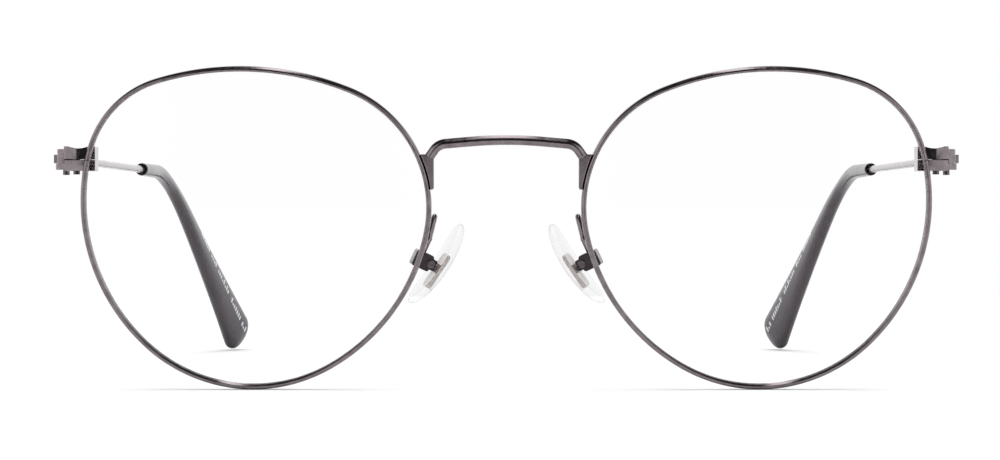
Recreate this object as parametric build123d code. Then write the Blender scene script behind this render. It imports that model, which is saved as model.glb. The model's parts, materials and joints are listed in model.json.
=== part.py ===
from build123d import *
import math
import os

import numpy as np

# Round wire eyeglasses, in millimetres. +Z is up, the front faces -Y and the temples run back along +Y.
# Every piece is made for the wearer's left (+X) side and mirrored in the plane X = 0.

# Lens outline, on the middle line of the rim wire: six tangent arcs.
# Angles give the way the outline faces where one arc meets the next: 0 outward, 90 up, 180 to the nose.
outline_width = 50.2
outline_height = 46.4
rim_spacing = 22.5
arc_angles = (-46, 15, 73, 112, 191, 240)
outer_corner_radius = 14.5
inner_corner_radius = 18.4

# Rim wire and lens
rim_width = 0.85
rim_depth = 1.9
groove_depth = 0.35
groove_width = 0.9
lens_thickness = 1.7
bevel_width = 0.8
bevel_reach = 0.25
lens_gap = 0.05
base_radius = 120.0
front_tilt = 6.0

# Bridge and its two plates
bridge_wire = 1.45
bridge_top = 13.1
bridge_shoulder_x = 9.9
bridge_shoulder_drop = 0.85
bridge_foot_x = 11.25
bridge_foot_z = 10.3
bridge_arch_radius = 60.0
bridge_bend_radius = 2.3
bridge_depth = 2.4
plate_edge_x = 10.5
plate_top = 10.75
plate_bottom = 5.6
plate_thickness = 1.2

# Closing blocks, which hold the two ends of each rim together
closing_height = 9.95
rim_slit = 0.1
block_inward = 0.95
block_outward = 3.5
block_set_back = 0.35
block_depth = 4.7
upper_height = 1.85
lower_height = 1.6
block_round = 0.25
scoop_depth = 0.3
scoop_out = 1.4
scoop_radius = 3.65
facet_tilt = 12.0
facet_out = 1.57
lock_out = 1.95
lock_back = 2.4

# Hinge: two ears on the blocks, one knuckle on the temple
hinge_out = 4.1
hinge_back = 6.4
hinge_gap = 0.05
knuckle_low = -0.4
knuckle_high = 0.85
knuckle_radius = 1.45
upper_ear = 0.75
upper_ear_radius = 1.35
lower_ear = 0.95
lower_ear_radius = 1.55
ear_root = 2.4
shoulder_out = 1.85
shoulder_in = 1.0
shoulder_back = 3.0
collar_diameter = 1.9
collar_back = 4.6

# Screws
screw_shank = 1.0
screw_gap = 0.02
screw_head = 1.6
screw_head_height = 0.35
screw_slot = 0.25
screw_slot_depth = 0.18
screw_stick_out = 0.5

# Temples, from the hinge axis: wire straight to the ear bend, then down and inward to the tip
temple_wire = 1.2
temple_to_bend = 99.0
temple_inward = 2.65
tip_run = 34.1
tip_inward = 10.25
tip_clear_of_table = 1.55
ear_bend_radius = 32.3
wire_start = 2.6
core_end = 6.0

# Acetate tips over the end of the wire
tip_start = 70.0
core_gap = 0.03
mouth_size = 2.15
bend_wide = 2.5
bend_thick = 2.3
blade_wide = 7.8
blade_thick = 3.0
blade_twist = 37.5
end_round = 3.4
tip_steps = 16
tip_stretch = 7

# Nose pads
pad_arm_wire = 0.85
pad_out = 11.36
pad_back = 9.2
pad_drop = -6.0
box_slope = 26.0
pad_slope = 34.8
pad_splay = 12.0
box_height = 2.5
box_mouth = 0.8
mouth_height = 1.65
mouth_length = 0.7
box_wall = 0.55
box_inside = 1.0
box_back = 2.7
box_web = 0.9
box_round = 0.4
lug_gap = 0.05
lug_height = 1.4
lug_end = 0.72
pad_screw_shank = 0.7
pad_screw_head = 1.2
pad_screw_head_height = 0.3
insert_stand_off = 1.15
insert_thickness = 0.75
insert_length = 5.8
insert_width = 3.2
insert_shift = -0.3
pad_length = 14.0
pad_width = 7.5
pad_thickness = 1.25
pad_shift = 0.5
pad_crown_radius = 22.0
pad_hollow_radius = 26.0
pad_round = 0.35

os.makedirs("parts", exist_ok=True)


def facing(degrees):
    """Unit vector (x, z) for a direction given in degrees, 0 along +X and 90 up."""
    return np.array([math.cos(math.radians(degrees)), math.sin(math.radians(degrees))])


def arc_spans():
    """Start and end angle of each of the outline's arcs."""
    ends = arc_angles[1:] + (arc_angles[0] + 360,)
    return list(zip(arc_angles, ends))


def unit_moves(start, end):
    """For each arc, how far a point moves per unit of radius as the outline turns from start to end."""
    moves = []
    for low, high in arc_spans():
        move = np.zeros(2)
        for turn in (-360, 0, 360):
            a = max(low + turn, start)
            b = min(high + turn, end)
            if b > a:
                move += facing(b) - facing(a)
        moves.append(move)
    return np.array(moves)


def arc_radii():
    """Radii of the six arcs: two are set, four follow from the outline closing at its width and height."""
    whole = unit_moves(arc_angles[0], arc_angles[0] + 360)
    rows = np.array([whole[:, 0], whole[:, 1], unit_moves(180, 360)[:, 0], unit_moves(-90, 90)[:, 1]])
    radii = np.array([0, outer_corner_radius, 0, inner_corner_radius, 0, 0], float)
    target = np.array([0, 0, outline_width, outline_height]) - rows @ radii
    free = [0, 2, 4, 5]
    radii[free] = np.linalg.solve(rows[:, free], target)
    return radii


def arc_centres():
    """Centres (x, z) of the arcs, with the outline's box centred on (0, 0)."""
    radii = arc_radii()
    centres = [np.zeros(2)]
    for i in range(1, len(radii)):
        centres.append(centres[-1] + (radii[i - 1] - radii[i]) * facing(arc_angles[i]))
    middle = np.array([centres[0][0] + radii[0] - outline_width / 2, centres[2][1] + radii[2] - outline_height / 2])
    return [centre - middle for centre in centres]


def outline_face(offset):
    """Flat face inside the lens outline, moved outwards by offset, in the plane Y = 0."""
    edges = []
    for (low, high), radius, centre in zip(arc_spans(), arc_radii(), arc_centres()):
        spots = [centre + (radius + offset) * facing(angle) for angle in (low, (low + high) / 2, high)]
        edges.append(ThreePointArc(*[(lens_x + spot[0], 0, spot[1]) for spot in spots]))
    return Face(Wire(edges))


def outline_prism(offset):
    """The outline, drawn out along Y well past both sides of the rim."""
    reach = 4 * rim_depth + outline_width**2 / base_radius / 2
    return Pos(0, -reach / 2, 0) * Solid.extrude(outline_face(offset), Vector(0, 1.5 * reach, 0))


def curved_layer(thickness):
    """Layer of the lens's base curve, thickness / 2 to each side of its middle."""
    outer = Sphere(base_radius + thickness / 2)
    inner = Sphere(base_radius - thickness / 2)
    return Pos(lens_x, base_radius, 0) * (outer - inner)


def curve_depth(x, z):
    """How far behind the lens's middle the base curve lies at a place on the front."""
    return base_radius - math.sqrt(base_radius**2 - (x - lens_x) ** 2 - z**2)


def outer_side_x(z):
    """X of the rim's middle line on the temple side, at a height above the lens's middle."""
    for (low, high), radius, centre in zip(arc_spans(), arc_radii(), arc_centres()):
        rise = (z - centre[1]) / radius
        if abs(rise) < 1 and low <= math.degrees(math.asin(rise)) <= high:
            return lens_x + centre[0] + radius * math.sqrt(1 - rise**2)
    return lens_x + outline_width / 2


def upright(x, y, z, diameter, height):
    """Cylinder standing on (x, y, z)."""
    return Pos(x, y, z) * Cylinder(diameter / 2, height, align=(Align.CENTER, Align.CENTER, Align.MIN))


def slab(x_range, y_range, z_range):
    """Box between three pairs of limits."""
    low, high = zip(x_range, y_range, z_range)
    size = [b - a for a, b in zip(low, high)]
    return Pos(*low) * Box(*size, align=(Align.MIN, Align.MIN, Align.MIN))


def tube(path, diameter):
    """Round wire along a path."""
    return sweep(Plane(origin=path @ 0, z_dir=path % 0) * Circle(diameter / 2), path=path)


def slotted_screw(shank, shank_length, head, head_height):
    """Screw with its head's top at Z = 0 and its shank below."""
    body = upright(0, 0, -head_height, head, head_height)
    body += upright(0, 0, -head_height - shank_length, shank, shank_length)
    return body - Pos(0, 0, -screw_slot_depth / 2) * Box(2 * head, screw_slot, screw_slot_depth)


# ---- the front ----
lens_x = (rim_spacing + outline_width) / 2
rim = (outline_prism(rim_width / 2) - outline_prism(-rim_width / 2)) & curved_layer(rim_depth)
rim -= outline_prism(groove_depth - rim_width / 2) & curved_layer(groove_width)
lens = outline_prism(-rim_width / 2 - lens_gap) & curved_layer(lens_thickness)
lens += outline_prism(bevel_reach - rim_width / 2) & curved_layer(bevel_width)

lean = Rot(X=front_tilt)
front_height = -(lean * rim).bounding_box().min.Z
front = Pos(0, 0, front_height) * lean

closing_x = outer_side_x(closing_height)
closing = (front * Pos(closing_x, curve_depth(closing_x, closing_height), closing_height)).position
rim = front * rim - Pos(closing) * Box(4 * rim_width, 2 * rim_depth, rim_slit)
lens = front * lens
in_front_of_rim_back = Pos(lens_x, base_radius, 0) * Sphere(base_radius - rim_depth / 2)
rim_seat = front * (outline_prism(rim_width / 2) - in_front_of_rim_back)

bridge_points = [
    (-bridge_foot_x, bridge_foot_z),
    (-bridge_shoulder_x, bridge_top - bridge_shoulder_drop),
    (0, bridge_top),
    (bridge_shoulder_x, bridge_top - bridge_shoulder_drop),
    (bridge_foot_x, bridge_foot_z),
]
bridge_path = FilletPolyline(
    *[(x, bridge_depth, z) for x, z in bridge_points],
    radius=[bridge_bend_radius, bridge_arch_radius, bridge_bend_radius],
)
plate_y = (bridge_depth - plate_thickness / 2, bridge_depth + plate_thickness / 2)
plate = slab((plate_edge_x, lens_x), plate_y, (plate_bottom, plate_top)) - outline_prism(rim_width / 2)
plate = fillet(plate.edges().filter_by(Axis.Y).group_by(Axis.X)[0], bridge_wire / 4)
bridge = front * tube(bridge_path, bridge_wire)
plate = front * plate
bridge -= plate
bridge -= mirror(plate, about=Plane.YZ)
bridge = bridge.solids().sort_by(SortBy.VOLUME)[-1]

# ---- closing blocks and hinge ----
hinge_x = closing.X + hinge_out
hinge_y = closing.Y + hinge_back
block_front = closing.Y - block_set_back
block_rear = block_front + block_depth
block_x = (closing.X - block_inward, closing.X + block_outward)
knuckle_z = (closing.Z + knuckle_low, closing.Z + knuckle_high)


def ear(radius, bottom, height):
    """Ear that reaches back from a closing block and holds the hinge screw."""
    root = block_rear - hinge_y - block_round * 2
    outline = Polygon((-ear_root, root), (-block_round, root), (radius, 0), (-radius, 0), align=None)
    flat = outline + Circle(radius)
    return Pos(hinge_x, hinge_y, bottom) * extrude(flat, height)


def closing_block(bottom, height):
    block = slab(block_x, (block_front, block_rear), (bottom, bottom + height))
    return fillet(block.edges().filter_by(Axis.Z), block_round) - rim_seat


lock_x = closing.X + lock_out
lock_y = closing.Y + lock_back
upper_bottom = closing.Z + rim_slit / 2
upper_top = upper_bottom + upper_height
lower_top = closing.Z - rim_slit / 2
lower_bottom = lower_top - lower_height
upper_ear_bottom = knuckle_z[1] + hinge_gap
upper_ear_top = upper_ear_bottom + upper_ear
lower_ear_top = knuckle_z[0] - hinge_gap
lower_ear_bottom = lower_ear_top - lower_ear

scoop = Pos(closing.X + scoop_out, block_front, upper_top - scoop_depth + scoop_radius) * Rot(X=90)
scoop *= Cylinder(scoop_radius, 4 * block_depth)
facet = Pos(closing.X + facet_out, block_front, upper_bottom) * Rot(X=-facet_tilt)
facet *= Box(4 * facet_out, block_depth, 4 * upper_height, align=(Align.MAX, Align.MAX, Align.CENTER))
block_upper = closing_block(upper_bottom, upper_height) - scoop - facet
block_upper += ear(upper_ear_radius, upper_ear_bottom, upper_ear)
block_lower = closing_block(lower_bottom, lower_height) + ear(lower_ear_radius, lower_ear_bottom, lower_ear)

screws = {}
screw_places = {
    "rim_lock_screw": (lock_x, lock_y, upper_top - scoop_depth),
    "hinge_screw": (hinge_x, hinge_y, upper_ear_top),
}
for name, (x, y, top) in screw_places.items():
    shank_length = top - screw_head_height - (lower_bottom - screw_stick_out)
    screws[name] = Pos(x, y, top) * slotted_screw(screw_shank, shank_length, screw_head, screw_head_height)
    hole = upright(x, y, lower_bottom - screw_head, screw_shank + 2 * screw_gap, top - lower_bottom + 2 * screw_head)
    recess = upright(x, y, top - screw_head_height, screw_head + 2 * screw_gap, screw_head)
    block_upper = block_upper - hole - recess
    block_lower -= hole

# ---- temple ----
temple_z = (knuckle_z[0] + knuckle_z[1]) / 2
bend = Vector(hinge_x - temple_inward, hinge_y + temple_to_bend, temple_z)
tip_end = Vector(bend.X - tip_inward, bend.Y + tip_run, tip_clear_of_table)
out_of_hinge = (bend - Vector(hinge_x, hinge_y, temple_z)).normalized()
down_to_tip = (tip_end - bend).normalized()
bend_turn = math.radians(out_of_hinge.get_angle(down_to_tip))
bend_cut = ear_bend_radius * math.tan(bend_turn / 2)
bend_start = bend - out_of_hinge * bend_cut
bend_end = bend + down_to_tip * bend_cut
bend_inside = (down_to_tip - out_of_hinge).normalized()
bend_centre = bend + bend_inside * (ear_bend_radius / math.cos(bend_turn / 2))
bend_middle = bend_centre - bend_inside * ear_bend_radius
straight_length = (bend_start - Vector(hinge_x, hinge_y, temple_z)).length
bend_length = ear_bend_radius * bend_turn
temple_length = straight_length + bend_length + (tip_end - bend_end).length


def temple_path(start, end):
    """Middle line of the temple between two distances from the hinge axis, the end one past the ear bend."""
    first = Vector(hinge_x, hinge_y, temple_z) + out_of_hinge * start
    last = tip_end - down_to_tip * (temple_length - end)
    return Wire([Line(first, bend_start), ThreePointArc(bend_start, bend_middle, bend_end), Line(bend_end, last)])


temple_core = tube(temple_path(wire_start, temple_length - core_end), temple_wire)

knuckle = upright(hinge_x, hinge_y, knuckle_z[0], 2 * knuckle_radius, knuckle_z[1] - knuckle_z[0])
shoulder_x = (hinge_x - shoulder_in, hinge_x + shoulder_out)
shoulder = slab(shoulder_x, (hinge_y, hinge_y + shoulder_back), knuckle_z)
shoulder = fillet(shoulder.edges().filter_by(Axis.Z).group_by(Axis.Y)[-1], block_round)
collar_start = Vector(hinge_x, hinge_y, temple_z) + out_of_hinge * (lower_ear_radius + collar_diameter / 3)
collar = Plane(origin=collar_start, z_dir=out_of_hinge) * Cylinder(
    collar_diameter / 2, collar_back - lower_ear_radius, align=(Align.CENTER, Align.CENTER, Align.MIN)
)
pin_hole = upright(hinge_x, hinge_y, knuckle_z[0] - 1, screw_shank + 2 * screw_gap, knuckle_z[1] - knuckle_z[0] + 2)
hinge_temple = knuckle + shoulder + collar - pin_hole - temple_core

# ---- acetate tip ----
blade_length = temple_length - tip_start


def tip_section(share):
    """Ellipse of the tip at a share of its length, from its mouth to its rounded end."""
    along = tip_start + share * blade_length
    bend_share = (straight_length + bend_length / 2 - tip_start) / blade_length
    if along < straight_length:
        spot = bend_start - out_of_hinge * (straight_length - along)
        direction = out_of_hinge
    elif along < straight_length + bend_length:
        turn = (along - straight_length) / ear_bend_radius
        side = out_of_hinge.cross(out_of_hinge.cross(down_to_tip)).normalized()
        spot = bend_centre + side * ear_bend_radius * math.cos(turn) + out_of_hinge * ear_bend_radius * math.sin(turn)
        direction = out_of_hinge * math.cos(turn) - side * math.sin(turn)
    else:
        spot = tip_end - down_to_tip * (temple_length - along)
        direction = down_to_tip
    if share < bend_share:
        grow = share / bend_share
        wide = mouth_size + (bend_wide - mouth_size) * grow
        thick = mouth_size + (bend_thick - mouth_size) * grow
        twist = 0
    else:
        grow = (share - bend_share) / (1 - bend_share)
        wide = bend_wide + (blade_wide - bend_wide) * grow
        thick = bend_thick + (blade_thick - bend_thick) * grow
        twist = blade_twist * grow
    left = temple_length - along
    if left < end_round:
        shrink = math.sqrt(1 - (1 - left / end_round) ** 2)
        wide *= shrink
        thick *= shrink
    flat = out_of_hinge.cross(down_to_tip).normalized()
    plane = Plane(origin=spot, x_dir=flat.rotate(Axis((0, 0, 0), direction), -twist), z_dir=direction)
    return plane * Ellipse(max(thick, 0.3) / 2, max(wide, 0.3) / 2)


last_share = 1 - end_round / blade_length
shares = [last_share * i / tip_steps for i in range(tip_steps + 1)]
shares += [1 - end_round / blade_length * left for left in (0.7, 0.4, 0.15, 0.02)]
sections = [tip_section(share) for share in shares]
starts = range(0, len(sections) - 1, tip_stretch)
# In short stretches, because a loft over all of the turned sections folds through itself
stretches = [loft(sections[start : start + tip_stretch + 1], ruled=True) for start in starts]
temple_tip = stretches[0] + stretches[1:]
bore = tube(temple_path(tip_start - 1, temple_length - core_end), temple_wire + 2 * core_gap)
temple_tip -= bore

# ---- nose pad, in its own planes: X away from the nose, Y up the pad, Z along the screw ----
def pad_plane(slope):
    """Plane at the pad screw: X points away from the nose, Y up along the pad."""
    outward = Vector(1, 0, 0).rotate(Axis.Z, -pad_splay)
    across = Vector(0, 0, 1).cross(outward)
    outward = outward.rotate(Axis((0, 0, 0), across), -slope)
    return Plane(origin=(pad_out, pad_back, pad_drop), x_dir=outward, z_dir=-across)


box_plane = pad_plane(box_slope)
face_plane = pad_plane(pad_slope)
half_box = box_inside / 2 + box_wall
box_shape = Pos((box_back - box_mouth + mouth_length) / 2, 0) * RectangleRounded(
    box_back + box_mouth - mouth_length, box_height, box_round
)
box_shape += Pos((box_round - box_mouth) / 2, 0) * RectangleRounded(box_mouth + box_round, mouth_height, box_round / 2)
pad_box = extrude(box_shape, half_box, both=True)
slot_length = box_mouth + box_web
pad_box -= Pos(box_web - slot_length / 2, 0, 0) * Box(slot_length, 2 * box_height, box_inside)
through = Cylinder(pad_screw_shank / 2 + screw_gap, 4 * half_box)
pad_box -= through
pad_screw = Pos(0, 0, half_box + pad_screw_head_height) * slotted_screw(
    pad_screw_shank, 2 * half_box, pad_screw_head, pad_screw_head_height
)
pad_box = front * (box_plane * pad_box)
pad_screw = front * (box_plane * pad_screw)

lug_thick = box_inside - 2 * lug_gap
lug = Cylinder(lug_end, lug_thick)
lug += Pos(-insert_stand_off / 2, 0, 0) * Box(insert_stand_off, lug_height, lug_thick)
insert_x = -insert_stand_off - insert_thickness / 2
insert_plate = Pos(insert_x, insert_shift, 0) * Box(insert_thickness, insert_length, insert_width)
insert_plate = fillet(insert_plate.edges().filter_by(Axis.X), insert_width / 3)
pad_insert = lug + insert_plate - Cylinder(pad_screw_shank / 2 + screw_gap, 4 * half_box)

pad_outline = Plane.YZ * Ellipse(pad_length / 2, pad_width / 2)
nose_pad = extrude(pad_outline, pad_length / 2, both=True)
nose_pad &= Pos(pad_crown_radius - pad_thickness, 0, 0) * Sphere(pad_crown_radius)
nose_pad -= Pos(pad_hollow_radius, 0, 0) * Sphere(pad_hollow_radius)
nose_pad = fillet(nose_pad.edges(), pad_round)
nose_pad = Pos(-insert_stand_off, pad_shift, 0) * nose_pad - insert_plate
pad_insert = front * (face_plane * pad_insert)
nose_pad = front * (face_plane * nose_pad)

# ---- pad arm: soldered behind the rim, up, over and down to the back of the pad box ----
arm_foot_z = -1.2
arm_foot_x = lens_x - outline_width / 2 + curve_depth(lens_x, arm_foot_z)
arm_points = [
    (arm_foot_x, curve_depth(arm_foot_x, arm_foot_z) + rim_depth / 2, arm_foot_z - 0.8),
    (arm_foot_x - 0.1, curve_depth(arm_foot_x, 0) + rim_depth / 2 + pad_arm_wire / 2, arm_foot_z + 0.4),
    (10.5, 5.0, 1.4),
    (10.5, 6.6, 1.4),
    (11.4, 8.2, -2.2),
    tuple((box_plane * Pos(box_back / 2 + 0.3, box_height / 2 - 0.3, 0)).position),
]
arm_path = FilletPolyline(*arm_points, radius=[0.5, 0.75, 0.75, 1.5])
pad_arm = front * tube(arm_path, pad_arm_wire) - rim - pad_box
pad_arm = pad_arm.solids().sort_by(SortBy.VOLUME)[-1]

# ---- write the pieces, centred in depth over the table ----
side_parts = {
    "rim": rim,
    "lens": lens,
    "bridge_plate": plate,
    "closing_block_upper": block_upper,
    "closing_block_lower": block_lower,
    "rim_lock_screw": screws["rim_lock_screw"],
    "hinge_screw": screws["hinge_screw"],
    "temple_knuckle": hinge_temple,
    "temple_wire": temple_core,
    "temple_tip": temple_tip,
    "pad_arm": pad_arm,
    "pad_box": pad_box,
    "pad_screw": pad_screw,
    "pad_insert": pad_insert,
    "nose_pad": nose_pad,
}
boxes = [piece.bounding_box() for piece in side_parts.values()]
depth_middle = (min(box.min.Y for box in boxes) + max(box.max.Y for box in boxes)) / 2
table = min(box.min.Z for box in boxes)
to_origin = Pos(0, -depth_middle, -table)
export_step(to_origin * bridge, "parts/bridge.step")
for name, piece in side_parts.items():
    placed = to_origin * piece
    export_step(placed, f"parts/{name}_left.step")
    export_step(mirror(placed, about=Plane.YZ), f"parts/{name}_right.step")

hinge_spot = to_origin * Pos(hinge_x, hinge_y, temple_z)
pad_spot = to_origin * front * box_plane.location
print("hinge axis at", hinge_spot.position)
print("pad screw at", pad_spot.position, "along", pad_spot.z_axis.direction)
print("lens middle at", (to_origin * front * Pos(lens_x, 0, 0)).position, "temple length", temple_length)
print("depth middle", depth_middle, "table", table, "closing", closing)
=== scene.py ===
import json
import math

import bmesh
import bpy
import numpy as np
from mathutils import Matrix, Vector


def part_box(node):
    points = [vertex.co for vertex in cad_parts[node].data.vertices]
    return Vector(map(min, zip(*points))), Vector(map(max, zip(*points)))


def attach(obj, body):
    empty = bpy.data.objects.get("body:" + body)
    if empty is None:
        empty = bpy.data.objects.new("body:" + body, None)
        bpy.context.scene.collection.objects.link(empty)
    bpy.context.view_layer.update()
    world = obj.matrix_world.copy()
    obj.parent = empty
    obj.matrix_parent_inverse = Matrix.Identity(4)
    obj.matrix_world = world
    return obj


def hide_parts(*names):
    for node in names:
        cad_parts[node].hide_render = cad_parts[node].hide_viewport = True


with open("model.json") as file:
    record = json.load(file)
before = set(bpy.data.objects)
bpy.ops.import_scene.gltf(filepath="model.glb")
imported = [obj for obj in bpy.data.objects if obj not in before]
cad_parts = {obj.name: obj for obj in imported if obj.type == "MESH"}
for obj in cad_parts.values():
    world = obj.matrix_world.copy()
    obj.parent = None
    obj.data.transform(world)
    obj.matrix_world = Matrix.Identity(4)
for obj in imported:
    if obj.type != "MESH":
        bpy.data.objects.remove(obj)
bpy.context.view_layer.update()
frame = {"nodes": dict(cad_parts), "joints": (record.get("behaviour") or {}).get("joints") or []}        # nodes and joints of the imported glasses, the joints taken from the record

sides = {"left": 1, "right": -1}      # the wearer's left is +X
mm = 0.001


def hexToLinear(hexColour):
    # sRGB hex to the linear colour that a socket takes
    srgb = np.array([int(hexColour[i:i + 2], 16) for i in (1, 3, 5)]) / 255
    linear = np.where(srgb <= 0.04045, srgb / 12.92, ((srgb + 0.055) / 1.055) ** 2.4)
    return (*linear.tolist(), 1.0)


def addNode(tree, kind, settings=None, links=None):
    # one node: settings are sockets by name or number, or else properties
    node = tree.nodes.new(kind)
    for key, value in (settings or {}).items():
        if isinstance(key, int) or key in node.inputs:
            node.inputs[key].default_value = value
        else:
            setattr(node, key, value)
    for key, socket in (links or {}).items():
        tree.links.new(socket, node.inputs[key])
    return node


def newMaterial(name):
    material = bpy.data.materials.new(name)
    material.use_nodes = True
    material.node_tree.nodes.clear()
    return material, material.node_tree


plating = {
    "dark": "#6c6467", "light": "#857c80",      # black-nickel grey with a trace of brown
    "polishLow": 0.10, "polishHigh": 0.24,      # roughness of bright-plated wire
    "cloudSize": 1.4, "lineSize": 0.05,         # mm: patches of polish, and drawing lines
    "lineHeight": 0.0012,                       # mm
    "screwShade": 0.55, "boxPaintedShade": 0.2,        # how much darker the screws are, and the pad boxes' painted shade: their plating darkened to stand in for the dim room they mirror
}


def gunmetalPlating(name, look, darker=1.0):
    # black-nickel plating on drawn nickel-silver wire: mirror-like with a grey tint, slightly cloudy
    # where the polish varies, with faint lines from drawing that break up the sharpest highlights
    material, tree = newMaterial(name)
    place = addNode(tree, "ShaderNodeTexCoord").outputs["Object"]
    cloud = addNode(tree, "ShaderNodeTexNoise",
                    {"Scale": 1 / (look["cloudSize"] * mm), "Detail": 3, "Roughness": 0.6}, {"Vector": place})
    grain = addNode(tree, "ShaderNodeTexNoise",
                    {"Scale": 1 / (look["lineSize"] * mm), "Detail": 2}, {"Vector": place})
    colour = addNode(tree, "ShaderNodeValToRGB", links={"Fac": cloud.outputs["Fac"]})
    for stop, key in zip(colour.color_ramp.elements, ("dark", "light")):
        stop.color = hexToLinear(look[key])
    colour.color_ramp.elements[0].position = 0.3
    colour.color_ramp.elements[1].position = 0.7
    # the 'darker' factor scales the colour; for the pad boxes it is painted shade standing in for the dim
    # room their plating mirrors
    tone = addNode(tree, "ShaderNodeMix", {"data_type": "RGBA", "blend_type": "MULTIPLY", 0: 1.0,
                                           7: (darker, darker, darker, 1)}, {6: colour.outputs["Color"]})
    polish = addNode(tree, "ShaderNodeMapRange",
                     {"From Min": 0.3, "From Max": 0.7,
                      "To Min": look["polishLow"], "To Max": look["polishHigh"]},
                     {"Value": cloud.outputs["Fac"]})
    bump = addNode(tree, "ShaderNodeBump", {"Strength": 0.35, "Distance": look["lineHeight"] * mm},
                   {"Height": grain.outputs["Fac"]})
    metal = addNode(tree, "ShaderNodeBsdfPrincipled", {"Metallic": 1.0},
                    {"Base Color": tone.outputs[2], "Roughness": polish.outputs["Result"],
                     "Normal": bump.outputs["Normal"]})
    addNode(tree, "ShaderNodeOutputMaterial", links={"Surface": metal.outputs["BSDF"]})
    return material


lensCoat = {
    "tint": "#ffffff", "edge": "#e9efed", "paintedEdgeShadePower": 4.0,          # a coat keeps the shine low; the 'edge' colour is painted shade towards the lens's edges
    "shine": 0.004, "grazing": 0.5, "roughness": 0.02, "haze": 0.0, "hazeSize": 30.0,      # mm
}
siliconeLook = {
    # the 'edge' colour is painted shade: the pad's outline darkened to stand in for the dim surroundings that
    # refraction would bend into view
    "tint": "#ffffff", "edge": "#8f8d94", "paintedEdgeShadePower": 5.0,
    "shine": 0.012, "grazing": 0.8, "roughness": 0.08, "haze": 0.12, "hazeSize": 1.5,       # mm
}


def clearSolid(name, look):
    # a clear solid so even that light goes straight through: towards its edges the passing light takes the
    # 'edge' colour, painted shade that stands in for the dim surroundings refraction would bend into view,
    # and its skin mirrors by Schlick's curve, the fifth power of how far it is turned away
    material, tree = newMaterial(name)
    place = addNode(tree, "ShaderNodeTexCoord").outputs["Object"]
    turned = addNode(tree, "ShaderNodeLayerWeight", {"Blend": 0.5}).outputs["Facing"]
    cloud = addNode(tree, "ShaderNodeTexNoise",
                    {"Scale": 1 / (look["hazeSize"] * mm), "Detail": 2}, {"Vector": place})
    blur = addNode(tree, "ShaderNodeMapRange",
                   {"To Min": look["roughness"], "To Max": look["roughness"] + look["haze"]},
                   {"Value": cloud.outputs["Fac"]})
    # painted edge shade: how far the surface is turned away, raised to a power, mixes the tint towards the
    # 'edge' colour
    depth = addNode(tree, "ShaderNodeMath", {"operation": "POWER", 1: look["paintedEdgeShadePower"]}, {0: turned})
    passedWithPaintedEdgeShade = addNode(tree, "ShaderNodeMix", {"data_type": "RGBA", 6: hexToLinear(look["tint"]),
                                             7: hexToLinear(look["edge"])}, {0: depth.outputs[0]})
    through = addNode(tree, "ShaderNodeBsdfTransparent", links={"Color": passedWithPaintedEdgeShade.outputs[2]})
    fifth = addNode(tree, "ShaderNodeMath", {"operation": "POWER", 1: 5.0}, {0: turned})
    shine = addNode(tree, "ShaderNodeMapRange", {"To Min": look["shine"], "To Max": look["grazing"]},
                    {"Value": fifth.outputs[0]})
    skin = addNode(tree, "ShaderNodeBsdfAnisotropic",
                   {"Color": (1, 1, 1, 1)}, {"Roughness": blur.outputs["Result"]})
    mixed = addNode(tree, "ShaderNodeMixShader",
                    links={0: shine.outputs["Result"], 1: through.outputs["BSDF"], 2: skin.outputs["BSDF"]})
    addNode(tree, "ShaderNodeOutputMaterial", links={"Surface": mixed.outputs["Shader"]})
    return material


tipLook = {
    "dark": "#2b2329", "light": "#362c34",      # smoky grey-black sheet
    "satinLow": 0.19, "satinHigh": 0.27,
    "mottleSize": 6.0, "grainSize": 0.12,       # mm
    "buffDepth": 0.004,                         # mm
    "ink": "#c3c6ce", "inkLow": 0.35, "inkHigh": 1.5,       # mm across the inner face
    "shortestStroke": 0.35, "strokeEvery": 0.85,            # mm
    "inkShare": 0.62,                           # of each step along the line
    "groups": [(30.5, 25.3), (24.5, 21.0), (20.0, 13.3), (12.0, 6.0), (5.0, 2.4)],       # mm from the end
}


def arithmetic(tree, operation, first, second):
    # one arithmetic node: each side is a socket or a number
    node = addNode(tree, "ShaderNodeMath", {"operation": operation})
    for index, value in enumerate((first, second)):
        if isinstance(value, (int, float)):
            node.inputs[index].default_value = value
        else:
            tree.links.new(value, node.inputs[index])
    return node.outputs[0]


def span(tree, value, low, high):
    # 1 where the value lies between low and high
    above = arithmetic(tree, "GREATER_THAN", value, low)
    below = arithmetic(tree, "LESS_THAN", value, high)
    return arithmetic(tree, "MULTIPLY", above, below)


def inkMask(tree, look):
    # plain short strokes printed in groups along the inner face: no letters, only a broken line
    sheet = addNode(tree, "ShaderNodeUVMap", {"uv_map": "sheet"}).outputs["UV"]
    place = addNode(tree, "ShaderNodeSeparateXYZ", links={0: sheet})
    along, across = place.outputs["X"], place.outputs["Y"]
    groups = [span(tree, along, end * mm, start * mm) for start, end in look["groups"]]
    inGroup = groups[0]
    for group in groups[1:]:
        inGroup = arithmetic(tree, "ADD", inGroup, group)
    step = arithmetic(tree, "MULTIPLY", along, 1 / (look["strokeEvery"] * mm))
    stroke = arithmetic(tree, "LESS_THAN", arithmetic(tree, "FRACT", step, 0.0), look["inkShare"])
    number = arithmetic(tree, "FLOOR", step, 0.0)
    chance = addNode(tree, "ShaderNodeTexWhiteNoise", {"noise_dimensions": "1D"}, {"W": number})
    high = addNode(tree, "ShaderNodeMapRange",
                   {"To Min": (look["inkLow"] + look["shortestStroke"]) * mm, "To Max": look["inkHigh"] * mm},
                   {"Value": chance.outputs["Value"]})
    mask = inGroup
    for factor in (stroke, span(tree, across, look["inkLow"] * mm, high.outputs["Result"])):
        mask = arithmetic(tree, "MULTIPLY", mask, factor)
    return mask


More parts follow.
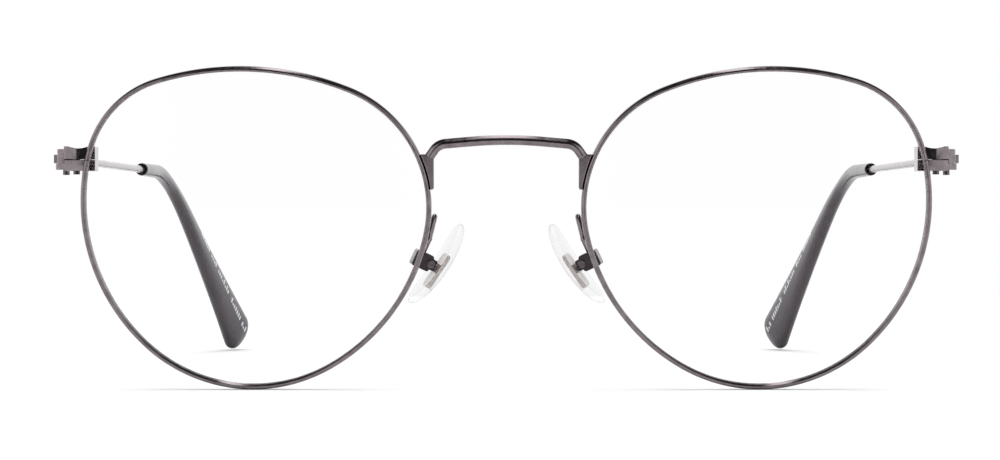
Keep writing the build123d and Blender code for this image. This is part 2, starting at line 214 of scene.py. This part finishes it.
def tumbledAcetate(name, look):
    # cellulose acetate, tumbled and hand-buffed to a satin: soft wide highlights, faint mottling
    material, tree = newMaterial(name)
    place = addNode(tree, "ShaderNodeTexCoord").outputs["Object"]
    mottle = addNode(tree, "ShaderNodeTexNoise",
                     {"Scale": 1 / (look["mottleSize"] * mm), "Detail": 4, "Roughness": 0.6},
                     {"Vector": place})
    grain = addNode(tree, "ShaderNodeTexNoise",
                    {"Scale": 1 / (look["grainSize"] * mm), "Detail": 2}, {"Vector": place})
    colour = addNode(tree, "ShaderNodeValToRGB", links={"Fac": mottle.outputs["Fac"]})
    for stop, key in zip(colour.color_ramp.elements, ("dark", "light")):
        stop.color = hexToLinear(look[key])
    colour.color_ramp.elements[0].position = 0.3
    colour.color_ramp.elements[1].position = 0.75
    satin = addNode(tree, "ShaderNodeMapRange",
                    {"From Min": 0.3, "From Max": 0.7,
                     "To Min": look["satinLow"], "To Max": look["satinHigh"]},
                    {"Value": mottle.outputs["Fac"]})
    bump = addNode(tree, "ShaderNodeBump", {"Strength": 0.25, "Distance": look["buffDepth"] * mm},
                   {"Height": grain.outputs["Fac"]})
    inked = addNode(tree, "ShaderNodeMix", {"data_type": "RGBA", 7: hexToLinear(look["ink"])},
                    {0: inkMask(tree, look), 6: colour.outputs["Color"]})
    sheet = addNode(tree, "ShaderNodeBsdfPrincipled", {"IOR": 1.48},
                    {"Base Color": inked.outputs[2], "Roughness": satin.outputs["Result"],
                     "Normal": bump.outputs["Normal"]})
    addNode(tree, "ShaderNodeOutputMaterial", links={"Surface": sheet.outputs["BSDF"]})
    return material


insertLook = {"light": "#c4bbb7", "dark": "#a59d9a", "cloudSize": 0.9}       # mm


def mouldedPolycarbonate(name, look):
    # the pad's milky moulded insert, a little uneven where it is seen through the silicone
    material, tree = newMaterial(name)
    place = addNode(tree, "ShaderNodeTexCoord").outputs["Object"]
    cloud = addNode(tree, "ShaderNodeTexNoise",
                    {"Scale": 1 / (look["cloudSize"] * mm), "Detail": 2}, {"Vector": place})
    colour = addNode(tree, "ShaderNodeValToRGB", links={"Fac": cloud.outputs["Fac"]})
    colour.color_ramp.elements[0].color = hexToLinear(look["dark"])
    colour.color_ramp.elements[1].color = hexToLinear(look["light"])
    plastic = addNode(tree, "ShaderNodeBsdfPrincipled", {"IOR": 1.58, "Roughness": 0.35},
                      {"Base Color": colour.outputs["Color"]})
    addNode(tree, "ShaderNodeOutputMaterial", links={"Surface": plastic.outputs["BSDF"]})
    return material


platedWire = gunmetalPlating("gunmetalPlatedWire", plating)
platedScrew = gunmetalPlating("gunmetalPlatedScrew", plating, plating["screwShade"])
# painted shade: the pad boxes' plating darkened to stand in for the dim room they mirror
platedBoxPaintedShade = gunmetalPlating("gunmetalPlatedPadBoxPaintedShade", plating, plating["boxPaintedShade"])
coatedLens = clearSolid("antiReflectionCoatedPolycarbonate", lensCoat)
clearSilicone = clearSolid("clearSilicone", siliconeLook)
satinAcetate = tumbledAcetate("satinAcetate", tipLook)
milkyInsert = mouldedPolycarbonate("milkyPolycarbonate", insertLook)
print("materials made")


def gridQuads(rows, columns):
    # quads between neighbouring rows of points, where each row is a closed ring
    row = np.arange(rows - 1)[:, None]
    column = np.arange(columns)[None, :]
    beside = (column + 1) % columns
    here, above = row * columns, (row + 1) * columns
    return np.stack((here + column, here + beside, above + beside, above + column), -1).reshape(-1, 4)


def volumeSign(points, quads):
    # twice-split quads against the middle: positive where the faces turn outwards
    a, b, c, d = (points[quads[:, i]] for i in range(4))
    return np.sum(np.einsum("ij,ij->i", a, np.cross(b, c)) + np.einsum("ij,ij->i", a, np.cross(c, d)))


def ringPiece(name, rings, material, body, nodes, sharpest=40, places=None):
    # a closed skin through rings of points (rows, columns, 3) in mm, its open ends closed by flat caps;
    # 'places' gives each point its place on the printed sheet in mm, kept in the UV map in metres
    rows, columns = rings.shape[:2]
    points = rings.reshape(-1, 3)
    quads = gridQuads(rows, columns)
    faces = quads.tolist()
    faces += [np.arange(columns)[::-1].tolist(), (np.arange(columns) + (rows - 1) * columns).tolist()]
    middle = points.mean(0)
    if volumeSign(points - middle, quads) < 0:
        faces = [face[::-1] for face in faces]
    mesh = bpy.data.meshes.new(name)
    mesh.from_pydata((points * mm).tolist(), [], faces)
    if places is not None:
        corner = np.zeros(len(mesh.loops), int)
        mesh.loops.foreach_get("vertex_index", corner)
        mesh.uv_layers.new(name="sheet").data.foreach_set("uv", (places.reshape(-1, 2)[corner] * mm).ravel())
    return finishPiece(name, mesh, material, body, nodes, sharpest)


def finishPiece(name, mesh, material, body, nodes, sharpest):
    mesh.polygons.foreach_set("use_smooth", np.ones(len(mesh.polygons), bool))
    mesh.set_sharp_from_angle(angle=math.radians(sharpest))
    mesh.materials.append(material)
    mesh.validate()
    mesh.update()
    piece = bpy.data.objects.new(name, mesh)
    bpy.context.scene.collection.objects.link(piece)
    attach(piece, body)
    if nodes:
        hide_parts(*nodes)
    return piece


turns = {       # mm from the middle where the turn starts, and degrees
    "closing_block_upper": (62.35, 13),
    "closing_block_lower": (59.4, 13),
}
turnDepth = 2.0       # mm


def turnedOut(mesh, start, angle):
    # swings the front of a block back beyond x = start: a point moves back by tan(angle) times its distance
    # past the start, less the deeper it lies and not at all below the turn's depth
    points = np.zeros(len(mesh.vertices) * 3)
    mesh.vertices.foreach_get("co", points)
    points = points.reshape(-1, 3)
    depth = (points[:, 1] - points[:, 1].min()) / mm
    past = np.clip(np.abs(points[:, 0]) - start * mm, 0, None) * math.tan(math.radians(angle))
    points[:, 1] += past * np.clip(1 - depth / turnDepth, 0, 1)
    mesh.vertices.foreach_set("co", points.ravel())


def softened(node, edge, material, body, turn=None):
    # a machined piece taken from its CAD node, with its edges broken by a small round
    mesh = frame["nodes"][node].data.copy()
    mesh.materials.clear()
    if turn:
        turnedOut(mesh, *turn)
    work = bmesh.new()
    work.from_mesh(mesh)
    bmesh.ops.remove_doubles(work, verts=work.verts, dist=0.0005 * mm)
    bmesh.ops.dissolve_limit(work, angle_limit=math.radians(1.5), verts=work.verts, edges=work.edges)
    work.to_mesh(mesh)
    work.free()
    piece = finishPiece(node + "Softened", mesh, material, body, [node], 30)
    bevel = piece.modifiers.new("edgeRound", "BEVEL")
    bevel.width = edge * mm
    bevel.segments = 3
    bevel.limit_method = "ANGLE"
    bevel.angle_limit = math.radians(28)
    bevel.harden_normals = False
    return piece


def unit(vectors):
    return vectors / np.linalg.norm(vectors, axis=-1, keepdims=True)


def roundedPath(corners, radii):
    # straight runs through the corners, each corner cut by an arc that touches both runs
    corners = np.array(corners, float)
    stretches = [corners[:1]]
    for before, corner, after, radius in zip(corners, corners[1:], corners[2:], radii):
        come, go = unit(corner - before), unit(after - corner)
        turn = math.acos(np.clip(come @ go, -1, 1))
        centre = corner + unit(go - come) * radius / math.cos(turn / 2)
        start = corner - come * radius * math.tan(turn / 2)
        swing = np.linspace(0, turn, 24)[:, None]
        stretches.append(centre + (start - centre) * np.cos(swing) + come * radius * np.sin(swing))
    stretches.append(corners[-1:])
    return np.vstack(stretches)


def alongPath(path, distances):
    # points of the path at distances from its start, worked out on its summed lengths
    reach = np.concatenate([[0], np.cumsum(np.linalg.norm(np.diff(path, axis=0), axis=1))])
    return np.stack([np.interp(distances, reach, path[:, i]) for i in range(3)], -1)


def pathLength(path):
    return np.linalg.norm(np.diff(path, axis=0), axis=1).sum()


def sweptRings(spots, across, halfAcross, halfAlong, power=2.0, columns=48, twist=0.0, line=None):
    # rings round a line of spots: x = a sgn(cos)|cos|^(2/power), y = b sgn(sin)|sin|^(2/power),
    # x along 'across' made square to the line, y square to both, both turned by the twist
    line = unit(np.gradient(spots, axis=0)) if line is None else line
    first = unit(across - (line @ across)[:, None] * line)
    second = np.cross(line, first)
    halfAcross, halfAlong, power, twist = (np.broadcast_to(v, len(spots))[:, None]
                                           for v in (halfAcross, halfAlong, power, np.radians(twist)))
    turnedFirst = first * np.cos(twist) + second * np.sin(twist)
    turnedSecond = second * np.cos(twist) - first * np.sin(twist)
    angle = np.arange(columns) * 2 * np.pi / columns
    x = np.sign(np.cos(angle)) * np.abs(np.cos(angle)) ** (2 / power) * halfAcross
    y = np.sign(np.sin(angle)) * np.abs(np.sin(angle)) ** (2 / power) * halfAlong
    return spots[:, None] + x[..., None] * turnedFirst[:, None] + y[..., None] * turnedSecond[:, None]


def domed(distances, length, dome):
    # how much of its full radius a wire has near its rounded ends: a quarter circle over 'dome'
    left = np.minimum(distances, length - distances)
    return np.sqrt(np.clip(1 - (1 - np.clip(left / dome, 0.004, 1)) ** 2, 0, 1))


def wireDistances(length, dome, spacing):
    ends = dome * (1 - np.cos(np.linspace(0.06, np.pi / 2, 7)))
    inner = np.linspace(dome, length - dome, max(3, int((length - 2 * dome) / spacing)))
    return np.concatenate([ends[:-1], inner, (length - ends[:-1])[::-1]])


# the outline and how the front leans
rimLook = {
    "arcAngles": [-46, 15, 73, 112, 191, 240],      # degrees: where the six arcs meet
    "outerCorner": 14.5, "innerCorner": 18.4,        # mm, the two set radii
    "wire": 0.85, "depth": 1.9,                      # mm
    "squareness": 2.5,                               # 2 is round, more is squarer
    "grooveDepth": 0.35, "grooveWidth": 0.9,         # mm
    "baseRadius": 120.0, "tilt": 6.0,                # mm, degrees
    "slit": 0.1, "closingHeight": 9.95,              # mm
}
rimLow, rimHigh = (np.array(corner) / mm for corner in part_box("rim_left"))
outlineWidth = rimHigh[0] - rimLow[0] - rimLook["wire"]
outlineHeight = 46.4
lensX = (rimHigh[0] + rimLow[0]) / 2
arcLow = np.array(rimLook["arcAngles"], float)
arcHigh = np.append(arcLow[1:], arcLow[0] + 360)


def facing(degrees):
    return np.stack([np.cos(np.radians(degrees)), np.sin(np.radians(degrees))], -1)


def arcMoves(start, end):
    # how far each arc carries a point per unit radius while the outline turns from start to end
    moves = np.zeros((6, 2))
    for turn in (-360, 0, 360):
        low, high = np.maximum(arcLow + turn, start), np.minimum(arcHigh + turn, end)
        moves += np.where((high > low)[:, None], facing(high) - facing(low), 0)
    return moves


def solveArcs(look):
    # four radii from four conditions: the outline closes in x and z, and has its width and its height
    whole = arcMoves(arcLow[0], arcLow[0] + 360)
    rows = np.stack([whole[:, 0], whole[:, 1], arcMoves(180, 360)[:, 0], arcMoves(-90, 90)[:, 1]])
    radii = np.array([0, look["outerCorner"], 0, look["innerCorner"], 0, 0])
    free = [0, 2, 4, 5]
    radii[free] = np.linalg.solve(rows[:, free], [0, 0, outlineWidth, outlineHeight] - rows @ radii)
    steps = (radii[:-1] - radii[1:])[:, None] * facing(arcHigh[:-1])
    centres = np.vstack([[0, 0], np.cumsum(steps, axis=0)])
    middle = (centres[0, 0] + radii[0] - outlineWidth / 2, centres[2, 1] + radii[2] - outlineHeight / 2)
    return radii, centres - middle


arcRadii, arcCentres = solveArcs(rimLook)


def outlineAt(angles, offset):
    # the outline point that faces each angle, moved outwards by the offset
    angles = (np.asarray(angles, float) - arcLow[0]) % 360 + arcLow[0]
    arc = np.searchsorted(arcLow, angles, side="right") - 1
    return arcCentres[arc] + (arcRadii[arc] + offset)[..., None] * facing(angles)


def onBaseCurve(flat, behind):
    # gives flat (x, z) points their depth on a sphere about the lens's centre of curvature
    deep = rimLook["baseRadius"]
    depth = deep - np.sqrt((deep - behind) ** 2 - (flat ** 2).sum(-1))
    return np.stack([flat[..., 0] + lensX, depth, flat[..., 1]], -1)


def leaned(points):
    # top forwards by the tilt
    lean = math.radians(rimLook["tilt"])
    turned = points.copy()
    turned[..., 1] = points[..., 1] * math.cos(lean) - points[..., 2] * math.sin(lean)
    turned[..., 2] = points[..., 1] * math.sin(lean) + points[..., 2] * math.cos(lean)
    return turned


def rimSection(look, count=56):
    # a squared ellipse: radial and depth offsets, with a V groove pushed into the side that faces the lens
    angle = (np.arange(count) + 0.5) * 2 * np.pi / count
    share = 2 / look["squareness"]
    radial = np.sign(np.cos(angle)) * np.abs(np.cos(angle)) ** share * look["wire"] / 2
    deep = np.sign(np.sin(angle)) * np.abs(np.sin(angle)) ** share * look["depth"] / 2
    groove = np.clip(1 - np.abs(deep) / (look["grooveWidth"] / 2), 0, 1) * look["grooveDepth"]
    return np.where(radial < 0, radial + groove, radial), deep


def mirrored(points, side):
    return points * np.array([side, 1, 1])


closingArc = 1 if outlineAt(15, 0)[1] < rimLook["closingHeight"] else 0
closingAngle = math.degrees(math.asin(
    (rimLook["closingHeight"] - arcCentres[closingArc][1]) / arcRadii[closingArc]))
slitAngle = math.degrees(rimLook["slit"] / 2 / arcRadii[closingArc])
rimAngles = np.linspace(closingAngle + slitAngle, closingAngle + 360 - slitAngle, 560)
radial, deep = rimSection(rimLook)
flatRim = outlineAt(rimAngles, 0)[:, None] + radial[None, :, None] * facing(rimAngles)[:, None]
rimRings = leaned(onBaseCurve(flatRim, np.broadcast_to(deep, flatRim.shape[:2])))
frontOrigin = rimLow - rimRings.reshape(-1, 3).min(0)
frontOrigin[0] = 0


def toRow(frontPoints):
    # front coordinates (x from the nose, depth behind the lens's middle, height above it) to the row frame
    return leaned(np.asarray(frontPoints, float)) + frontOrigin


for side, sign in sides.items():
    ringPiece(f"rimWire_{side}", mirrored(rimRings + frontOrigin, sign), platedWire, "front",
              [f"rim_{side}"], sharpest=35)
print("rims made")

lensLook = {"thickness": 1.7, "gap": 0.05, "bevelWidth": 0.8, "bevelReach": 0.25}


def lensRings(look, columns=300):
    # rings from the front's middle out to the edge, over the bevel and back to the rear's middle
    edge = -rimLook["wire"] / 2 - look["gap"]
    peak = look["bevelReach"] - rimLook["wire"] / 2
    half = look["thickness"] / 2
    shares = np.sin(np.linspace(0.02, np.pi / 2, 22))
    share = np.concatenate([shares, [1, 1, 1], shares[::-1]])
    offset = np.concatenate([np.full(22, edge), [edge, peak, edge], np.full(22, edge)])
    lip = look["bevelWidth"] / 2
    behind = np.concatenate([np.full(22, -half), [-lip, 0, lip], np.full(22, half)])
    angles = rimLook["arcAngles"][0] + np.arange(columns) * 360 / columns
    flat = np.stack([outlineAt(angles, o) * s for o, s in zip(offset, share)])
    return toRow(onBaseCurve(flat, behind[:, None]))


lensSkin = lensRings(lensLook)
for side, sign in sides.items():
    ringPiece(f"lensBlank_{side}", mirrored(lensSkin, sign), coatedLens, "front",
              [f"lens_{side}"], sharpest=25)
print("lenses made")

bridgeLook = {
    "wire": 1.45, "top": 13.1, "shoulderX": 9.9, "shoulderDrop": 0.85, "footX": 11.25, "footZ": 10.3,
    "archRadius": 60.0, "bendRadius": 2.3, "depth": 2.4,
}


def bridgeRings(look):
    shoulder = look["top"] - look["shoulderDrop"]
    halfPoints = [(look["footX"], look["footZ"]), (look["shoulderX"], shoulder)]
    corners = [(-x, look["depth"], z) for x, z in halfPoints] + [(0, look["depth"], look["top"])]
    corners += [(x, look["depth"], z) for x, z in halfPoints[::-1]]
    path = roundedPath(corners, [look["bendRadius"], look["archRadius"], look["bendRadius"]])
    length = pathLength(path)
    distances = wireDistances(length, 0.2, 0.15)
    radius = look["wire"] / 2 * domed(distances, length, 0.2)
    return toRow(sweptRings(alongPath(path, distances), np.array([0.0, 1, 0]), radius, radius))


ringPiece("bridgeBar", bridgeRings(bridgeLook), platedWire, "front", ["bridge"])

# machined pieces on the front, the temples' knuckles and the pads' inserts
machined = {
    "bridge_plate": (0.12, platedWire, "front", "plated_metal"),
    "closing_block_upper": (0.08, platedWire, "front", "plated_metal"),
    "closing_block_lower": (0.08, platedWire, "front", "plated_metal"),
    "rim_lock_screw": (0.16, platedScrew, "front", "screw_steel"),
    "hinge_screw": (0.1, platedScrew, "front", "screw_steel"),
    "pad_box": (0.1, platedBoxPaintedShade, "front", "plated_metal"),
    "pad_screw": (0.04, platedScrew, "front", "screw_steel"),
    "temple_knuckle": (0.07, platedWire, "temple_{side}", "plated_metal"),
    "pad_insert": (0.1, milkyInsert, "pad_{side}", "pad_insert"),
}
for side in sides:
    for node, (edge, material, body, slot) in machined.items():
        softened(f"{node}_{side}", edge, material, body.format(side=side), turns.get(node))
print("machined pieces softened")

hinge = np.array(next(j["pos_m"] for j in frame["joints"] if j["name"] == "temple_left_fold")) / mm
templeLook = {
    "wire": 1.2, "toBend": 99.0, "inward": 2.65, "run": 34.1, "tipInward": 10.25, "tipHeight": 1.55,
    "bendRadius": 32.3, "wireStart": 2.6, "coreEnd": 6.0,
}
acetateTip = {
    "start": 70.0, "mouth": 2.15, "bendWide": 2.5, "bendThick": 2.3, "bladeWide": 7.8, "bladeThick": 3.0,
    "twist": 37.5, "endRound": 3.4, "recess": 0.9, "recessWide": 1.66, "boreGap": 0.03, "lip": 0.12,
    "squareness": 2.4, "columns": 72,
}
bend = hinge + (-templeLook["inward"], templeLook["toBend"], 0)
tipEnd = np.array([bend[0] - templeLook["tipInward"], bend[1] + templeLook["run"], templeLook["tipHeight"]])
templePath = roundedPath([hinge, bend, tipEnd], [templeLook["bendRadius"]])
templeLength = pathLength(templePath)
bladeNormal = unit(np.cross(bend - hinge, tipEnd - bend))
notPrinted = 50.0       # mm across, far off the printed line: the place of every other face


def templeWireRings(look):
    length = templeLength - look["coreEnd"] - look["wireStart"]
    distances = wireDistances(length, 0.15, 1.0)
    radius = look["wire"] / 2 * domed(distances, length, 0.15)
    return sweptRings(alongPath(templePath, distances + look["wireStart"]), bladeNormal, radius, radius)


def tipSize(look, distances):
    # round at the mouth, growing to the ear bend and then to the blade; a quarter ellipse closes the end
    toBend = np.linalg.norm(bend - hinge)
    first = np.clip((distances - look["start"]) / (toBend - look["start"]), 0, 1)
    second = np.clip((distances - toBend) / (templeLength - toBend), 0, 1)
    wide = look["mouth"] + (look["bendWide"] - look["mouth"]) * first
    wide += (look["bladeWide"] - look["bendWide"]) * second
    thick = look["mouth"] + (look["bendThick"] - look["mouth"]) * first
    thick += (look["bladeThick"] - look["bendThick"]) * second
    left = np.clip((templeLength - distances) / look["endRound"], 0, 1)
    close = np.sqrt(np.clip(1 - (1 - left) ** 2, 0.0004, 1))
    return wide * close, thick * close, look["twist"] * second


def tipRings(look):
    # from the end of the bore out to the mouth, round the lip, and along the outside to the rounded end;
    # also gives the places on the sheet in mm: how far from the end, and how far across the inner face
    bore = templeLook["wire"] / 2 + look["boreGap"]
    recessEnd = look["start"] + look["recess"]
    deep = np.linspace(templeLength - templeLook["coreEnd"], recessEnd, 60)
    quarter = np.linspace(0, np.pi / 2, 6)[:-1]
    inner = np.concatenate([deep, [recessEnd, look["start"] + look["lip"]]])
    innerHalf = np.concatenate([np.full(60, bore), np.full(2, look["recessWide"] / 2)])
    overLip = look["start"] + look["lip"] * (1 - np.cos(quarter))
    outer = np.linspace(look["start"] + look["lip"], templeLength - look["endRound"], 150)
    cap = templeLength - look["endRound"] * (1 - np.sin(np.linspace(0, np.pi / 2 - 0.03, 14)))[1:]
    outside = np.concatenate([overLip, outer, cap])
    wide, thick, twist = tipSize(look, outside)
    inset = np.concatenate([look["lip"] * (1 - np.sin(quarter)), np.zeros(len(outer) + len(cap))])
    distances = np.concatenate([inner, outside])
    spots = alongPath(templePath, distances)
    line = unit(alongPath(templePath, distances + 0.01) - alongPath(templePath, distances - 0.01))
    power = np.interp(distances, [look["start"] + 3, look["start"] + 20], [2.0, look["squareness"]])
    power[:len(inner)] = 2.0
    rings = sweptRings(spots, bladeNormal, np.concatenate([innerHalf, thick / 2 - inset]),
                       np.concatenate([innerHalf, wide / 2 - inset]), power, look["columns"],
                       np.concatenate([np.zeros(len(inner)), -twist]), line)
    angle = np.arange(look["columns"]) * 2 * np.pi / look["columns"]
    across = np.concatenate([innerHalf * 2, wide])[:, None] / 2 * np.sin(angle)
    printed = (np.cos(angle) > 0.01) & (np.arange(len(distances)) >= len(inner))[:, None]
    across = np.where(printed, across, notPrinted)
    places = np.stack([np.broadcast_to(templeLength - distances[:, None], across.shape), across], -1)
    return rings, places


wireRings = templeWireRings(templeLook)
acetateRings, acetatePlaces = tipRings(acetateTip)
for side, sign in sides.items():
    ringPiece(f"templeWire_{side}", mirrored(wireRings, sign), platedWire, f"temple_{side}",
              [f"temple_wire_{side}"])
    ringPiece(f"acetateTip_{side}", mirrored(acetateRings, sign), satinAcetate, f"temple_{side}",
              [f"temple_tip_{side}"], sharpest=50, places=acetatePlaces)
print("temples made")

padJoint = next(j for j in frame["joints"] if j["name"] == "pad_left_rock")
padScrew = np.array(padJoint["pos_m"]) / mm
padLook = {
    "slope": 34.8, "splay": 12.0, "standOff": 1.15, "length": 14.0, "width": 7.5, "thickness": 1.25,
    "shift": 0.5, "crownRadius": 22.0, "hollowRadius": 26.0, "roundFrom": 0.88, "egg": 0.06, "fullness": 2.3,
}


def padRings(look, columns=72):
    # a full egg shape (superellipse): both faces are spheres, the nose side crowned and the back hollow, and
    # the thickness runs out to nothing along a quarter circle round the edge; rings go back, edge, face
    splay, slope = math.radians(look["splay"]), math.radians(look["slope"])
    level = math.cos(slope)
    outward = np.array([math.cos(splay) * level, -math.sin(splay) * level, math.sin(slope)])
    acrossPad = np.array([math.sin(splay), math.cos(splay), 0.0])
    upPad = np.cross(outward, acrossPad)
    edge = look["roundFrom"] + (1 - look["roundFrom"]) * np.sin(np.linspace(0, np.pi / 2, 9))
    share = np.concatenate([np.linspace(0.02, look["roundFrom"], 12)[:-1], edge])
    thin = np.sqrt(1 - np.clip((share - look["roundFrom"]) / (1 - look["roundFrom"]), 0, 1) ** 2)
    angle = np.arange(columns) * 2 * np.pi / columns
    rise, reach = (np.sign(f) * np.abs(f) ** (2 / look["fullness"]) for f in (np.sin(angle), np.cos(angle)))
    up = share[:, None] * rise * look["length"] / 2
    side = share[:, None] * reach * look["width"] / 2 * (1 - look["egg"] * rise)
    far = up ** 2 + side ** 2
    face = look["crownRadius"] - look["thickness"] - np.sqrt(look["crownRadius"] ** 2 - far)
    back = look["hollowRadius"] - np.sqrt(look["hollowRadius"] ** 2 - far)
    middle, half = (face + back) / 2, (back - face) / 2 * thin[:, None]
    deep = np.concatenate([middle + half, (middle - half)[:-1][::-1]]) - look["standOff"]
    up = np.concatenate([up, up[:-1][::-1]]) + look["shift"]
    side = np.concatenate([side, side[:-1][::-1]])
    rings = up[..., None] * upPad + side[..., None] * acrossPad + deep[..., None] * outward
    return leaned(rings) + padScrew


pillow = padRings(padLook)
armLook = {
    "wire": 0.85,
    "corners": [(11.26, 3.61, -2.0), (11.16, 4.03, -0.8),       # front coordinates: the foot behind the rim
                (10.5, 5.0, 1.4), (10.5, 6.6, 1.4),             # over the loop
                (11.4, 8.2, -2.2), (12.4, 8.98, -4.42)],        # down and into the box
    "radii": [0.5, 0.75, 0.75, 1.5],
}
armPath = roundedPath(armLook["corners"], armLook["radii"])
armLength = pathLength(armPath)
armDistances = wireDistances(armLength, 0.2, 0.15)
armRadius = armLook["wire"] / 2 * domed(armDistances, armLength, 0.2)
armSpots = alongPath(armPath, armDistances)
armRings = toRow(sweptRings(armSpots, np.array([1.0, 0, 0]), armRadius, armRadius, columns=32))
for side, sign in sides.items():
    ringPiece(f"siliconePad_{side}", mirrored(pillow, sign), clearSilicone, f"pad_{side}",
              [f"nose_pad_{side}"])
    ringPiece(f"padArmWire_{side}", mirrored(armRings, sign), platedWire, "front",
              [f"pad_arm_{side}"])
print("nose pads made")

studio = {
    "table": "#f6f6f7", "tableSide": 0.6, "tableFront": -0.245, "tableBack": 0.5,       # metres
    "bright": 1.3, "dim": 0.06,                                      # the walls, and the dark places
    "gapInner": 0.25, "gapOuter": 0.45,                              # sines of the dark gap's edges, sideways
    "wallTop": 0.4, "ceilingFrom": 0.7,                              # sines of the heights where walls end
    "boxWide": 0.14, "boxLong": 1.9, "boxHeight": 0.9, "boxPower": 3.1, "fill": 2.0,
    "cameraBack": 402.0, "eyeHeight": 23.3,                          # mm
    "lens": 99.57, "shiftX": -0.0063,
}


def paleFloor(name, colour):
    material, tree = newMaterial(name)
    paint = addNode(tree, "ShaderNodeBsdfPrincipled", {"Base Color": hexToLinear(colour), "Roughness": 0.8})
    addNode(tree, "ShaderNodeOutputMaterial", links={"Surface": paint.outputs["BSDF"]})
    return material


floorMesh = bpy.data.meshes.new("floor")
reach, near, far = studio["tableSide"], studio["tableFront"], studio["tableBack"]
tableCorners = [(-reach, near, 0), (reach, near, 0), (reach, far, 0), (-reach, far, 0)]
floorMesh.from_pydata(tableCorners, [], [(0, 1, 2, 3)])
floorMesh.materials.append(paleFloor("matteWhiteTable", studio["table"]))
floor = bpy.data.objects.new("floor", floorMesh)
bpy.context.scene.collection.objects.link(floor)


def studioWorld(look):
    # bright walls, a dim ceiling, and a dim gap in the front wall, where the camera is
    world = bpy.data.worlds.new("studio")
    bpy.context.scene.world = world
    world.use_nodes = True
    tree = world.node_tree
    tree.nodes.clear()
    way = addNode(tree, "ShaderNodeTexCoord").outputs["Generated"]
    parts = addNode(tree, "ShaderNodeSeparateXYZ", links={0: way})
    aside = addNode(tree, "ShaderNodeMapRange",
                    {"From Min": look["gapInner"], "From Max": look["gapOuter"],
                     "interpolation_type": "SMOOTHSTEP"},
                    {"Value": arithmetic(tree, "ABSOLUTE", parts.outputs["X"], 0.0)})
    behind = arithmetic(tree, "GREATER_THAN", parts.outputs["Y"], 0.0)
    wide = arithmetic(tree, "MAXIMUM", aside.outputs["Result"], behind)
    low = addNode(tree, "ShaderNodeMapRange",
                  {"From Min": look["ceilingFrom"], "From Max": look["wallTop"],
                   "interpolation_type": "SMOOTHSTEP"},
                  {"Value": parts.outputs["Z"]})
    level = addNode(tree, "ShaderNodeMapRange", {"To Min": look["dim"], "To Max": look["bright"]},
                    {"Value": arithmetic(tree, "MULTIPLY", wide, low.outputs["Result"])})
    ray = addNode(tree, "ShaderNodeLightPath")
    seen = addNode(tree, "ShaderNodeMix", {"data_type": "FLOAT", 3: 1.0},
                   {0: ray.outputs["Is Camera Ray"], 2: level.outputs["Result"]})
    sky = addNode(tree, "ShaderNodeBackground", {"Color": (1, 1, 1, 1)}, {"Strength": seen.outputs[0]})
    addNode(tree, "ShaderNodeOutputWorld", links={"Surface": sky.outputs["Background"]})


def fillLight(strength):
    # even light on the table that the metal doesn't mirror
    light = bpy.data.lights.new("fill", "SUN")
    light.energy = strength
    light.angle = math.radians(70)       # wide, so that its shadows are soft
    fill = bpy.data.objects.new("fill", light)
    fill.visible_glossy = False
    bpy.context.scene.collection.objects.link(fill)


def softbox(name, place, width, length, power):
    # a long flat light that hangs level over the table, running away from the camera
    light = bpy.data.lights.new(name, "AREA")
    light.shape = "RECTANGLE"
    light.size, light.size_y, light.energy = width, length, power
    box = bpy.data.objects.new(name, light)
    box.location = place
    bpy.context.scene.collection.objects.link(box)


studioWorld(studio)
fillLight(studio["fill"])
softbox("topBox", (0, 0.05, studio["boxHeight"]), studio["boxWide"], studio["boxLong"], studio["boxPower"])

camera = bpy.data.cameras.new("camera")
camera.lens, camera.sensor_width, camera.shift_x = studio["lens"], 36.0, studio["shiftX"]
camera.clip_start, camera.clip_end = 0.01, 50
cameraObject = bpy.data.objects.new("camera", camera)
rimMiddle = (rimLow[1] + rimHigh[1]) / 2
cameraObject.location = (0, (rimMiddle - studio["cameraBack"]) * mm, studio["eyeHeight"] * mm)
cameraObject.rotation_euler = (math.pi / 2, 0, 0)
bpy.context.scene.collection.objects.link(cameraObject)
bpy.context.scene.camera = cameraObject
bpy.context.scene.view_settings.view_transform = "Standard"
print("studio made")
